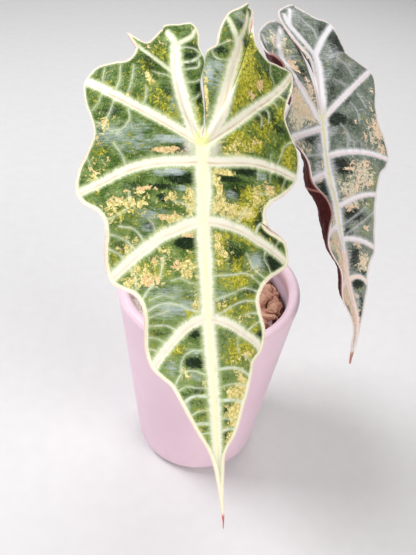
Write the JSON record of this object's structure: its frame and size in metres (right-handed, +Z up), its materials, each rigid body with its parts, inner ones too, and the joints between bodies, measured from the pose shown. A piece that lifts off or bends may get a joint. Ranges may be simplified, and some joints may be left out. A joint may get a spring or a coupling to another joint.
{
  "type": "potted variegated alocasia plant",
  "caption": "Potted aroid houseplant: lobed, arrow-shaped variegated blades on upright stalks, growing from potting chips in a round tapered pot.",
  "frame": {"origin": "middle of the flat underside of the pot", "axes": "+Z up; the front leaf hangs towards -Y, and the back leaf leans towards +X"},
  "size_m": [0.1729, 0.2579, 0.321],
  "materials": {
    "pot_plastic": "soft pink, satin",
    "bark": "rough bark and clay chips",
    "crown_tissue": "dry papery brown over green",
    "stalk_tissue": "smooth pale green flushed with pink",
    "front_leaf": "glossy green with pale ribs, cream and yellow-green flecks",
    "back_leaf": "glossy grey-green with white and peach patches, burgundy underneath"
  },
  "bodies": {
    "root": {"pot": "pot_plastic", "potting_chips": "bark", "crown": "crown_tissue", "front_leaf_stalk": "stalk_tissue", "back_leaf_stalk": "stalk_tissue", "front_leaf_blade": "front_leaf", "back_leaf_blade": "back_leaf"}
  },
  "joints": []
}
